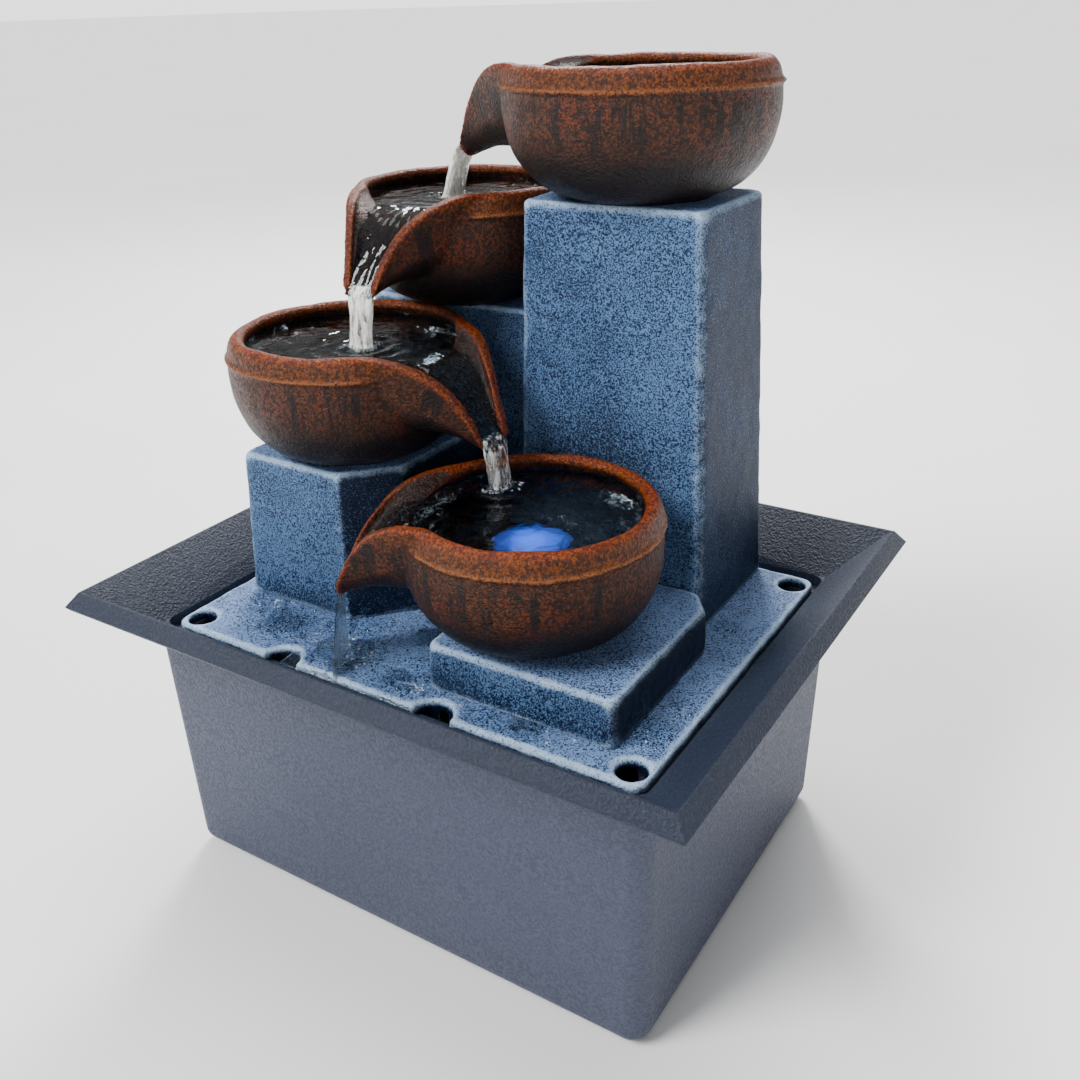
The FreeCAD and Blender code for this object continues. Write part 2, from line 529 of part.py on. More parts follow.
def led_socket():
    x, y = SOCKET_AT
    body = cylinder(SOCKET_R, SOCKET_H, (x, y, PUMP_TOP))
    return one_solid(body.cut(cylinder(SOCKET_BORE_R, SOCKET_H - 2.0, (x, y, PUMP_TOP + 2.0))))


def led_plug():
    x, y = SOCKET_AT
    tip = cylinder(PLUG_R, SOCKET_H - 2.0, (x, y, PUMP_TOP + 2.0 + PLUG_GAP))
    grip = cylinder(4.4, PLUG_H - SOCKET_H, (x, y, PUMP_TOP + SOCKET_H + PLUG_GAP))
    bore = cylinder(LEAD_R + FIT, LEAD_SEAT, (x, y, PUMP_TOP + PLUG_H + PLUG_GAP - LEAD_SEAT))
    return one_solid(tip.fuse(grip).cut(bore))


def led_lead():
    """Two-core lead from the plug, across under the deck and up into the lamp."""
    x0, y0 = SOCKET_AT
    x1, y1 = BOTTOM_BOWL["at"]
    start, end = PUMP_TOP + PLUG_H + PLUG_GAP - LEAD_SEAT, LOW_TOP + BOWL_FLOOR + 2.0
    across = V(x1 - x0, y1 - y0, 0).normalize()
    r = LEAD_BEND_R
    rise = 1 - math.sqrt(0.5)
    a, b = V(x0, y0, start), V(x0, y0, LEAD_Z - r)
    c = V(x0, y0, LEAD_Z) + across * r
    d = V(x1, y1, LEAD_Z) - across * r
    e, f = V(x1, y1, LEAD_Z + r), V(x1, y1, end)
    mid_first = V(x0, y0, LEAD_Z - r * rise) + across * (r * rise)
    mid_last = V(x1, y1, LEAD_Z + r * rise) - across * (r * rise)
    path = Part.Wire([Part.makeLine(a, b), Part.Arc(b, mid_first, c).toShape(), Part.makeLine(c, d),
                      Part.Arc(d, mid_last, e).toShape(), Part.makeLine(e, f)])
    section = Part.Wire(Part.makeCircle(LEAD_R, a, UP))
    lead = path.makePipeShell([section], True, True)
    ideal = math.pi * LEAD_R ** 2 * path.Length
    print(f"led_lead bend radius {r:.1f} mm, volume / ideal {lead.Volume / ideal:.4f}")
    return lead


# ---- the set -------------------------------------------------------------------------------
def parts():
    tall_hole = (*TOP_BOWL["at"], SPIGOT_R + FIT)
    low_hole = (*BOTTOM_BOWL["at"], LEAD_R + FIT)
    made = {
        "basin": basin(), "foot_pads": foot_pads(), "cord_grommet": cord_grommet(),
        "pump_housing": pump_housing(), "pump_lead_gland": pump_lead_gland(),
        "stator_core": stator_core(), "stator_coils": stator_coils(),
        "suction_cups": suction_cups(), "volute_cover": volute_cover(),
        "volute_seal": volute_seal(), "rotor_shaft": rotor_shaft(),
        "rear_bushing": rear_bushing(), "front_bushing": front_bushing(),
        "rotor_magnet": rotor_magnet(), "impeller": impeller(),
        "intake_cover": intake_cover(), "filter_sponge": filter_sponge(),
        "flow_slider": flow_slider(), "led_socket": led_socket(),
        "deck_plate": deck_plate(),
        "column_tall": block(TALL, TALL_TOP, TALL_DRAFT, tall_hole),
        "column_back": block(BACK, BACK_TOP, BACK_DRAFT),
        "column_front": block(FRONT, FRONT_TOP, FRONT_DRAFT),
        "block_low": block(LOW, LOW_TOP, LOW_DRAFT, low_hole),
        "bowl_top": bowl(**TOP_BOWL, foot_z=TALL_TOP, drilled=SPIGOT_R + FIT),
        "bowl_upper": bowl(**UPPER_BOWL, foot_z=BACK_TOP),
        "bowl_lower": bowl(**LOWER_BOWL, foot_z=FRONT_TOP),
        "bowl_bottom": bowl(**BOTTOM_BOWL, foot_z=LOW_TOP, drilled=LEAD_R + FIT),
        "led_plug": led_plug(), "led_lead": led_lead(),
    }
    made.update(riser())
    made.update(light())
    return made


os.makedirs("parts", exist_ok=True)
for name, shape in parts().items():
    box = shape.BoundBox
    print(f"{name:16s} solids {len(shape.Solids)} valid {shape.isValid()} volume {shape.Volume:10.1f} "
          f"x {box.XMin:7.1f} {box.XMax:7.1f} y {box.YMin:7.1f} {box.YMax:7.1f} "
          f"z {box.ZMin:7.1f} {box.ZMax:7.1f}")
    shape.exportStep(f"parts/{name}.step")
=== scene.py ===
import json
import math
import random

import bmesh
import bpy
import numpy as np
from mathutils import Matrix, Vector, noise


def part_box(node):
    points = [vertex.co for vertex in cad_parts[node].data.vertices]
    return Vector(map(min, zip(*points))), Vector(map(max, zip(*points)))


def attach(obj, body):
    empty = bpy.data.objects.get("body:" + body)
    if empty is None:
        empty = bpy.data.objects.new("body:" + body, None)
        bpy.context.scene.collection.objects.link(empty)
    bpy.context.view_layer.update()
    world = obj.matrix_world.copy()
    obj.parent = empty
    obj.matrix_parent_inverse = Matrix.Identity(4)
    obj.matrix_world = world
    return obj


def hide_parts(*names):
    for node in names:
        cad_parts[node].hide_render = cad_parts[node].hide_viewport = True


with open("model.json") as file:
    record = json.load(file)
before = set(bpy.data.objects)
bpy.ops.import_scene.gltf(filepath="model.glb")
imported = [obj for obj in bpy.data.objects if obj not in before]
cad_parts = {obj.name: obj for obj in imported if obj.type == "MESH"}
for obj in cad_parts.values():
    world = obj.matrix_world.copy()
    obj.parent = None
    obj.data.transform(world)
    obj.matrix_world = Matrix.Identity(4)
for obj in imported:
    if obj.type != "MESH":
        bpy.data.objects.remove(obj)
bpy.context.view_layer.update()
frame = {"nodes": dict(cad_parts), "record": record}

MM = 0.001

# Paint is named by the colour it shows in daylight, then toned down and made more vivid,
# because the studio's light is bright and the view transform pales it
TONE, VIVID = 0.31, 1.30


def srgb(r, g, b, lift=1.0):
    """Linear paint colour from 0-255 values, toned for the studio light."""
    def lin(c):
        c /= 255.0
        return c / 12.92 if c <= 0.04045 else ((c + 0.055) / 1.055) ** 2.4
    rgb = [lin(c) for c in (r, g, b)]
    grey = 0.2126 * rgb[0] + 0.7152 * rgb[1] + 0.0722 * rgb[2]
    return (*(max(0.0, grey + (c - grey) * VIVID) * TONE * lift for c in rgb), 1.0)


# ---- camera --------------------------------------------------------------------------------
# Place in metres, angles in degrees, focal length and optical centre in pixels of the frame
CAM_AT = (0.1889, -0.2708, 0.2661)
CAM_AZ, CAM_EL, CAM_ROLL = 33.3655, 20.2915, -1.8486
CAM_F, CAM_CX, CAM_CY, FRAME_PX = 1154.09, 522.565, 426.415, 1080.0
SENSOR = 36.0

az, el = math.radians(CAM_AZ), math.radians(CAM_EL)
back = Vector((math.sin(az) * math.cos(el), -math.cos(az) * math.cos(el), math.sin(el)))
cam = bpy.data.objects.new("camera", bpy.data.cameras.new("camera"))
bpy.context.scene.collection.objects.link(cam)
cam.data.sensor_width = SENSOR
cam.data.lens = CAM_F / FRAME_PX * SENSOR
cam.data.shift_x = (FRAME_PX / 2 - CAM_CX) / FRAME_PX
cam.data.shift_y = (CAM_CY - FRAME_PX / 2) / FRAME_PX
cam.data.clip_start = 0.01
aim = (-back).to_track_quat("-Z", "Y").to_matrix().to_4x4()
roll = Matrix.Rotation(math.radians(CAM_ROLL), 4, "Z")
cam.matrix_world = Matrix.Translation(CAM_AT) @ (aim @ roll)
bpy.context.scene.camera = cam


# ---- node helpers --------------------------------------------------------------------------
def material(name):
    mat = bpy.data.materials.new(name)
    mat.use_nodes = True
    return mat, mat.node_tree, mat.node_tree.nodes["Principled BSDF"]


def put(nt, socket, value):
    if isinstance(value, bpy.types.NodeSocket):
        nt.links.new(value, socket)
    else:
        socket.default_value = value


def wire(nt, node, ins):
    for k, v in ins.items():
        put(nt, node.inputs[k], v)


def add(nt, kind, ins=None, **props):
    n = nt.nodes.new(kind)
    for k, v in props.items():
        setattr(n, k, v)
    wire(nt, n, ins or {})
    return n


def calc(nt, op, a, b=0.0, clamp=False):
    n = add(nt, "ShaderNodeMath", {0: a, 1: b}, operation=op)
    n.use_clamp = clamp
    return n.outputs[0]


def times(nt, a, b, clamp=False):
    return calc(nt, "MULTIPLY", a, b, clamp)


def mix(nt, fac, a, b):
    """Colour a, going over to b as fac rises to 1."""
    n = add(nt, "ShaderNodeMix", data_type="RGBA")
    wire(nt, n, {0: fac, 6: a, 7: b})
    return n.outputs[2]


def span(nt, value, lo, hi, to_lo=0.0, to_hi=1.0):
    """Map lo..hi to to_lo..to_hi and hold the ends."""
    n = add(nt, "ShaderNodeMapRange", {0: value, 1: lo, 2: hi, 3: to_lo, 4: to_hi}, clamp=True)
    return n.outputs[0]


def grain(nt, vector, scale, detail=2.0, rough=0.5, distort=0.0):
    n = add(nt, "ShaderNodeTexNoise", {"Vector": vector, "Scale": scale, "Detail": detail,
                                       "Roughness": rough, "Distortion": distort})
    return n.outputs[0]


def bump(nt, bsdf, height, distance, strength):
    n = add(nt, "ShaderNodeBump", {"Height": height, "Distance": distance, "Strength": strength})
    nt.links.new(n.outputs[0], bsdf.inputs["Normal"])


def place(nt):
    return add(nt, "ShaderNodeTexCoord").outputs["Object"]


def attribute(nt, name, output="Fac"):
    return add(nt, "ShaderNodeAttribute", attribute_name=name).outputs[output]


# ---- materials -----------------------------------------------------------------------------
WATER_IOR = 1.333
WATER_ROUGH = 0.02
LAMP_CENTRE = (0.0301, -0.0266, 0.1145)
LAMP_STRENGTH = 2.2


def stone_material():
    """Cast blue resin: navy granite speckle, pale edges that are brushed and carry a painted highlight,
    painted light on the tops, painted shade, wet near the water.
    """
    mat, nt, b = material("blue_stone")
    p = place(nt)
    edge, wet, shade, top = (attribute(nt, name) for name in ("edge", "wet", "shade", "top"))
    worm = grain(nt, p, 2000.0, 2.0, 0.55, 0.5)
    fine = grain(nt, p, 4600.0, 1.0)
    cloud = grain(nt, p, 26.0, 3.0, 0.6)
    pattern = calc(nt, "ADD", times(nt, worm, 0.8), times(nt, fine, 0.2))
    # The lift tips the speckle towards its pale colour on edges (brushed, and a painted highlight) and
    # on tops (painted overhead light), away from it in painted shade
    lift = calc(nt, "ADD", times(nt, calc(nt, "SUBTRACT", cloud, 0.5), 0.16), times(nt, edge, 0.16))
    lift = calc(nt, "SUBTRACT", lift, times(nt, shade, 0.12))
    lift = calc(nt, "ADD", lift, times(nt, top, 0.025))
    speck = span(nt, calc(nt, "ADD", pattern, lift), 0.465, 0.525)
    pale = mix(nt, cloud, srgb(88, 117, 156, 2.5), srgb(120, 145, 180, 2.5))
    # Tops are paler: painted overhead light
    pale = mix(nt, times(nt, top, 0.85), pale, srgb(142, 165, 206, 2.75))
    col = mix(nt, speck, srgb(22, 36, 62, 2.3), pale)
    # Edges go pale: brushed paint, and partly a painted highlight
    brushed_and_highlit = times(nt, edge, span(nt, pattern, 0.36, 0.52), clamp=True)
    col = mix(nt, brushed_and_highlit, col, srgb(196, 216, 236, 2.6))
    # Painted shade: darkens hollows, right-hand faces, holes and the sides just above the deck
    col = mix(nt, times(nt, shade, 0.6, clamp=True), col, srgb(10, 16, 30, 2.3))
    rough = calc(nt, "SUBTRACT", span(nt, speck, 0, 1, 0.52, 0.66), times(nt, wet, 0.36))
    wire(nt, b, {"Base Color": col, "Roughness": rough, "Specular IOR Level": 0.22})
    # Water fills the grain and lays its own ripple over it
    ripple = grain(nt, p, 160.0, 2.0, 0.5, 1.2)
    dry = times(nt, pattern, calc(nt, "SUBTRACT", 1.0, times(nt, wet, 0.75)))
    bump(nt, b, calc(nt, "ADD", dry, times(nt, ripple, times(nt, wet, 3.5))), 0.0007, 0.8)
    return mat


def terracotta_material():
    """Cast resin bowl: orange rim and ridges, partly a painted highlight, brown streaked body darker
    towards the foot, painted shade on undersides, inside dark from wet and painted shade.
    """
    mat, nt, b = material("terracotta")
    p = place(nt)
    edge, rise, inside = (attribute(nt, name) for name in ("edge", "rise", "inside"))
    pebble = add(nt, "ShaderNodeTexVoronoi", {"Vector": p, "Scale": 950.0, "Randomness": 1.0},
                 feature="SMOOTH_F1").outputs["Distance"]
    fine = grain(nt, p, 1900.0, 2.0, 0.55, 0.3)
    pits = calc(nt, "ADD", times(nt, fine, 0.65),
                times(nt, calc(nt, "SUBTRACT", 1.0, pebble), 0.35))
    cloud = grain(nt, p, 60.0, 3.0, 0.6)
    streak = grain(nt, attribute(nt, "turned", "Vector"), 300.0, 3.0, 0.6)
    raised = span(nt, pits, 0.46, 0.66)
    body = mix(nt, raised, srgb(46, 24, 17), srgb(138, 82, 54))
    warm = times(nt, span(nt, cloud, 0.52, 0.72), times(nt, raised, 0.65))
    body = mix(nt, warm, body, srgb(182, 80, 28))
    # Dark runs down the belly, darker towards the foot (which also carries the undersides' painted
    # shade), and a warm band under the bead
    belly = times(nt, span(nt, rise, 0.26, 0.46), span(nt, rise, 0.80, 0.72))
    runs = times(nt, belly, span(nt, streak, 0.52, 0.58))
    body = mix(nt, times(nt, runs, 0.85), body, srgb(24, 17, 18))
    body = mix(nt, times(nt, span(nt, rise, 0.50, 0.12), 0.93), body, srgb(24, 19, 20))
    band = mix(nt, raised, srgb(76, 40, 16), srgb(182, 104, 48))
    body = mix(nt, span(nt, rise, 0.80, 0.86), body, band)
    rim = mix(nt, raised, srgb(138, 54, 12), srgb(236, 128, 42))
    # Rim and convex edges take the orange: paint, and partly a painted highlight
    col = mix(nt, times(nt, edge, span(nt, fine, 0.30, 0.50), clamp=True), body, rim)
    # The bead's pale line: paint, and partly a painted highlight
    bead = times(nt, attribute(nt, "bead"), span(nt, fine, 0.34, 0.50))
    col = mix(nt, bead, col, srgb(214, 142, 98))
    # Inside: dark wet clay and painted shade below the water
    col = mix(nt, inside, col, mix(nt, raised, srgb(6, 9, 14), srgb(22, 24, 30)))
    rough = calc(nt, "SUBTRACT", span(nt, pits, 0.4, 0.65, 0.50, 0.34), times(nt, inside, 0.15))
    wire(nt, b, {"Base Color": col, "Roughness": rough, "Specular IOR Level": 0.26})
    bump(nt, b, pits, 0.0010, 0.85)
    return mat


def basin_material():
    """Pebbled dark plastic, darker on the lip than on the wall below it."""
    mat, nt, b = material("basin_plastic")
    p = place(nt)
    height = add(nt, "ShaderNodeSeparateXYZ", {0: p}).outputs[2]
    pebble = grain(nt, p, 1250.0, 2.0, 0.5, 0.3)
    fine = grain(nt, p, 3200.0, 1.0)
    cloud = grain(nt, p, 14.0, 3.0, 0.6)

    def pebbled(low, high, pit, depth):
        paint = mix(nt, cloud, srgb(*low, 1.6), srgb(*high, 1.6))
        pitted = mix(nt, depth, paint, srgb(*pit, 1.5))
        return mix(nt, span(nt, pebble, 0.40, 0.60), pitted, paint)

    wall = pebbled((82, 88, 108), (98, 104, 124), (42, 46, 62), 0.40)
    lip = pebbled((44, 52, 70), (60, 68, 87), (22, 26, 36), 0.30)
    wire(nt, b, {"Base Color": mix(nt, span(nt, height, 0.0795, 0.0860), wall, lip),
                 "Roughness": span(nt, pebble, 0.4, 0.6, 0.58, 0.44), "Specular IOR Level": 0.30})
    bump(nt, b, calc(nt, "ADD", pebble, times(nt, fine, 0.3)), 0.0008, 0.7)
    return mat


def plain_material(name, dark, light, rough, scale=400.0, metal=0.0, relief=0.0003):
    """One paint with a soft cloud in its colour, roughness and relief."""
    mat, nt, b = material(name)
    n = grain(nt, place(nt), scale, 3.0, 0.6)
    wire(nt, b, {"Base Color": mix(nt, span(nt, n, 0.35, 0.65), dark, light),
                 "Roughness": span(nt, n, 0.3, 0.7, rough - 0.06, rough + 0.06), "Metallic": metal})
    bump(nt, b, n, relief, 0.4)
    return mat


def water_material(name, tint, scale, relief):
    mat, nt, b = material(name)
    wire(nt, b, {"Base Color": tint, "Roughness": WATER_ROUGH, "IOR": WATER_IOR,
                 "Specular IOR Level": 0.32, "Transmission Weight": 1.0})
    bump(nt, b, grain(nt, place(nt), scale, 2.0, 0.5, 0.8), relief, 0.6)
    return mat


def stream_material(name, foam_from, foam_to, milk, tint=(1.0, 0.99, 0.94, 1.0)):
    """Falling water: clear, with whitish aerated threads along the fall."""
    mat, nt, b = material(name)
    tall = add(nt, "ShaderNodeMapping", {"Vector": place(nt), "Scale": (1.0, 1.0, 0.25)}).outputs[0]
    thread = grain(nt, tall, 700.0, 3.0, 0.6, 0.5)
    foam = span(nt, thread, foam_from, foam_to)
    wire(nt, b, {"Base Color": tint, "Transmission Weight": span(nt, foam, 0.0, 1.0, 1.0, milk),
                 "IOR": WATER_IOR, "Roughness": span(nt, foam, 0.0, 1.0, WATER_ROUGH, 0.22)})
    bump(nt, b, thread, 0.0010, 0.8)
    return mat


def lamp_material():
    """Blue lamp: bright over its emitters, fading towards the lens's edge."""
    mat, nt, b = material("lamp_lens")
    p = place(nt)
    n = grain(nt, p, 420.0, 2.0)
    away = add(nt, "ShaderNodeVectorMath", {0: p, 1: LAMP_CENTRE}, operation="DISTANCE")
    glow = span(nt, calc(nt, "ADD", away.outputs["Value"], times(nt, n, 0.004)), 0.0125, 0.0020)
    wire(nt, b, {"Emission Color": mix(nt, glow, (0.0, 0.004, 0.06, 1), (0.05, 0.16, 1.0, 1)),
                 "Emission Strength": LAMP_STRENGTH, "Roughness": 0.25,
                 "Base Color": mix(nt, n, (0.02, 0.03, 0.10, 1), (0.05, 0.08, 0.20, 1))})
    bump(nt, b, n, 0.0003, 0.3)
    return mat


STONE = stone_material()
CLAY = terracotta_material()
BASIN = basin_material()
POOL = water_material("water_pool", (0.62, 0.80, 0.92, 1.0), 130.0, 0.0010)
FILM_WATER = water_material("water_film", (0.95, 0.98, 1.0, 1.0), 260.0, 0.0006)
# Falling water and drops, by where their foam starts and is full, and how clear the foam stays
FROTHY = stream_material("water_frothy", 0.36, 0.54, 0.04)
CLEAR = stream_material("water_clear", 0.50, 0.64, 0.30)
VEIL = stream_material("water_veil", 0.60, 0.76, 0.55)
GLINT = stream_material("water_glint", 0.20, 0.50, 0.35, (0.80, 0.88, 1.0, 1.0))

# Slot: material's name, dark paint, light paint, roughness, then what differs from the plain kind
PLAIN = {
    "black_rubber": ("black_rubber", (22, 22, 24), (34, 34, 36), 0.75),
    "pump_plastic": ("pump_plastic", (24, 25, 28), (36, 37, 41), 0.42),
    "clear_rubber": ("clear_rubber", (150, 156, 160), (176, 182, 186), 0.4),
    "steel_laminations": ("steel", (120, 122, 126), (150, 152, 156), 0.35, 900, 1.0),
    "copper_wire": ("copper", (150, 84, 44), (196, 118, 66), 0.3, 2200, 1.0),
    "white_ceramic": ("ceramic", (226, 224, 216), (240, 238, 232), 0.25),
    "ferrite": ("ferrite", (48, 48, 52), (66, 66, 70), 0.55, 1200),
    "impeller_plastic": ("impeller_plastic", (200, 202, 206), (216, 218, 222), 0.35),
    "sponge": ("sponge", (18, 18, 20), (52, 52, 56), 0.95, 1400, 0.0, 0.0012),
    "lead_sheath": ("lead_sheath", (206, 206, 208), (222, 222, 224), 0.5),
    "clear_hose": ("hose", (190, 198, 204), (208, 216, 222), 0.2),
    "spring_steel": ("spring_steel", (140, 142, 146), (170, 172, 176), 0.28, 900, 1.0),
    "lamp_plastic": ("lamp_plastic", (24, 26, 32), (34, 36, 44), 0.3),
    "circuit_board": ("circuit_board", (16, 84, 44), (26, 106, 58), 0.35, 700),
}
LOOKS = {slot: plain_material(name, srgb(*dark), srgb(*light), *rest)
         for slot, (name, dark, light, *rest) in PLAIN.items()}
LOOKS.update(lamp_lens=lamp_material(), blue_resin=STONE, terracotta_resin=CLAY, basin_plastic=BASIN)

for sub in frame["record"]["subparts"]:
    ob = frame["nodes"][sub["node"]]
    mat = LOOKS[sub["material_slot"]]
    if not ob.material_slots:
        ob.data.materials.append(mat)
    for s in ob.material_slots:
        s.material = mat


# ---- finer skins over the cast pieces ------------------------------------------------------
def link(name, mesh):
    ob = bpy.data.objects.new(name, mesh)
    bpy.context.scene.collection.objects.link(ob)
    return ob


def smooth(me):
    for poly in me.polygons:
        poly.use_smooth = True


def hand_over(ob, body, node, mat):
    """Dress a skin in one material and let it stand in for its CAD node."""
    ob.data.materials.clear()
    ob.data.materials.append(mat)
    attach(ob, body)
    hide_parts(node)


def welded(node):
    """A copy of a CAD node's mesh with its face borders joined."""
    bm = bmesh.new()
    bm.from_mesh(frame["nodes"][node].data)
    bmesh.ops.remove_doubles(bm, verts=bm.verts, dist=2e-6)
    me = bpy.data.meshes.new("welded")
    bm.to_mesh(me)
    bm.free()
    return me


def baked(ob):
    """Apply an object's modifiers to its mesh."""
    dg = bpy.context.evaluated_depsgraph_get()
    me = bpy.data.meshes.new_from_object(ob.evaluated_get(dg))
    ob.modifiers.clear()
    ob.data = me
    return me


def read(me):
    """Vertex places, vertex normals and edges as arrays."""
    co = np.empty(len(me.vertices) * 3, np.float32)
    no = np.empty(len(me.vertices) * 3, np.float32)
    me.vertices.foreach_get("co", co)
    me.vertices.foreach_get("normal", no)
    ed = np.empty(len(me.edges) * 2, np.int32)
    me.edges.foreach_get("vertices", ed)
    return co.reshape(-1, 3).astype(float), no.reshape(-1, 3).astype(float), ed.reshape(-1, 2)


def spread(values, edges, rounds):
    """Even out a value per vertex with its neighbours', round by round."""
    count = np.bincount(edges.ravel(), minlength=len(values)).astype(float)
    for _ in range(rounds):
        total = np.bincount(edges[:, 0], values[edges[:, 1]], len(values))
        total += np.bincount(edges[:, 1], values[edges[:, 0]], len(values))
        values = 0.5 * values + 0.5 * total / np.maximum(count, 1)
    return values


def convexity(co, no, edges, rounds):
    """About +1 on a convex edge as sharp as the mesh can hold, 0 on a flat, below 0 in a corner."""
    d = co[edges[:, 1]] - co[edges[:, 0]]
    d /= np.maximum(np.linalg.norm(d, axis=1), 1e-9)[:, None]
    c = np.bincount(edges[:, 0], -(d * no[edges[:, 0]]).sum(1), len(co))
    c += np.bincount(edges[:, 1], (d * no[edges[:, 1]]).sum(1), len(co))
    count = np.bincount(edges.ravel(), minlength=len(co))
    return spread(c / np.maximum(count, 1), edges, rounds)


def keep(me, name, values, kind="FLOAT"):
    """Store a value per vertex where a material can read it."""
    a = me.attributes.new(name, kind, "POINT")
    a.data.foreach_set("value" if kind == "FLOAT" else "vector", np.asarray(values, np.float32).ravel())


def step(x, lo, hi):
    """0 below lo, 1 above hi, eased between."""
    t = np.clip((x - lo) / (hi - lo), 0, 1)
    return t * t * (3 - 2 * t)


def set_places(me, co):
    me.vertices.foreach_set("co", co.astype(np.float32).ravel())
    me.update()


def rough_up(co, no, size, amount, seed):
    """Push the surface in and out by soft lumps of one size."""
    shift = Vector((seed * 3.1, seed * 1.7, seed * 2.3))
    n = np.array([noise.noise(Vector(p) / size + shift) for p in co])
    return co + no * (n * amount)[:, None]


def cast_skin(node, voxel, lumps):
    """A fine even mesh over a node, its edges eased and its faces lumpy as cast resin is.

    lumps: (size in metres, depth in metres, seed) from the broadest to the finest.
    """
    ob = link(node + "_skin", welded(node))
    m = ob.modifiers.new("voxels", "REMESH")
    m.mode, m.voxel_size, m.use_smooth_shade = "VOXEL", voxel, True
    s = ob.modifiers.new("ease", "SMOOTH")
    s.factor, s.iterations = 0.5, 3
    me = baked(ob)
    co, no, _ = read(me)
    for size, amount, seed in lumps:
        co = rough_up(co, no, size, amount, seed)
    set_places(me, co)
    smooth(me)
    return ob, me


DECK_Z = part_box("deck_plate")[1][2]
# How much painted shade darkens the right-hand faces of each stone piece, and the mesh size of its skin
STONES = {"column_tall": (0.60, 0.00085), "column_back": (0.60, 0.00080),
          "column_front": (0.80, 0.00080), "block_low": (0.95, 0.00080),
          "deck_plate": (0.0, 0.00080)}
STONE_LUMPS = [(0.009, 0.00030, 1), (0.0035, 0.00012, 2)]
# Wet spots on the deck in mm: centre, radius
WET = [((-22, -49), 20), ((-30, -38), 16), ((-66, -38), 14), ((0, -52), 18), ((40, -54), 20),
       ((74, -40), 12), ((-50, -45), 16), ((70, 20), 8)]


def stone_skin(node):
    """A stone piece's skin, with its edges worn and painted as highlights, wet foot, painted shade on
    its faces and painted light on its tops for the paint.
    """
    dark, voxel = STONES[node]
    ob, me = cast_skin(node, voxel, STONE_LUMPS)
    co, no, edges = read(me)
    c = convexity(co, no, edges, 3)
    # Convex edges get worn paint and a painted highlight; hollows get painted shade
    edge = step(c, 0.028, 0.105)
    hollow_shade = step(-c, 0.03, 0.15)

    wet = np.zeros(len(co))
    for (x, y), r in WET:
        d = np.hypot(co[:, 0] - x * MM, co[:, 1] - y * MM)
        wet = np.maximum(wet, step(-d, -r * MM, -r * MM * 0.35))
    foot = step(-co[:, 2], -(DECK_Z + 0.016), -(DECK_Z + 0.001))
    wet = np.maximum(wet * foot, 0.35 * foot)

    # Painted shade in hollows and on right-hand faces
    shade = np.maximum(hollow_shade, dark * step(no[:, 0], 0.3, 0.8))
    if node == "column_tall":
        # The upper bowls keep the light off the middle of its front
        d = np.hypot((co[:, 0] - 0.028) / 0.030, (co[:, 2] - 0.128) / 0.034)
        shade = np.maximum(shade, 0.55 * step(-d, -1.0, -0.1) * (no[:, 1] < -0.5))
    if node == "deck_plate":
        # Painted shade in its holes and on its underside
        shade = np.maximum(shade, 1.5 * step(-co[:, 2], -(DECK_Z - 0.0010), -(DECK_Z - 0.0030)))
    if node in ("block_low", "column_front"):
        # Painted shade on the sides just above the deck
        low = step(-co[:, 2], -(DECK_Z + 0.012), -DECK_Z)
        shade = np.maximum(shade, 0.5 * low * (np.abs(no[:, 2]) < 0.5))
    # Painted overhead light on the tops, held off hollows and wet spots
    top = step(no[:, 2], 0.5, 0.9) * np.clip(1.0 - hollow_shade - 0.6 * wet, 0, 1)
    for name, values in (("edge", edge), ("wet", wet), ("shade", shade), ("top", top)):
        keep(me, name, values)
    hand_over(ob, "deck", node, STONE)


# Centre, size, spout direction and foot height, as in the CAD, in mm and degrees
BOWLS = {"bowl_top": ((30.3, 37.5), 1.052, 180.0, 211.0),
         "bowl_upper": ((-39.2, 45.8), 1.0, -90.0, 172.4),
         "bowl_lower": ((-46.9, -8.6), 1.0, -6.0, 133.8),
         "bowl_bottom": ((30.1, -26.6), 0.965, 208.0, 98.8)}
BOWL_H = 38.5
BOWL_VOXEL = 0.00060
# The bead below the rim, as a share of the bowl's height, and how far its skin stands out
BEAD_AT, BEAD_RELIEF = 1.0 - 6.6 / BOWL_H, 0.00030
# Half width of a spout's channel against distance out from the bowl's centre, both in mm
REACH = [14.0, 30.0, 39.0, 47.0, 53.0, 57.5]
CHANNEL_HALF = [23.4, 20.9, 15.9, 10.4, 6.4, 4.6]


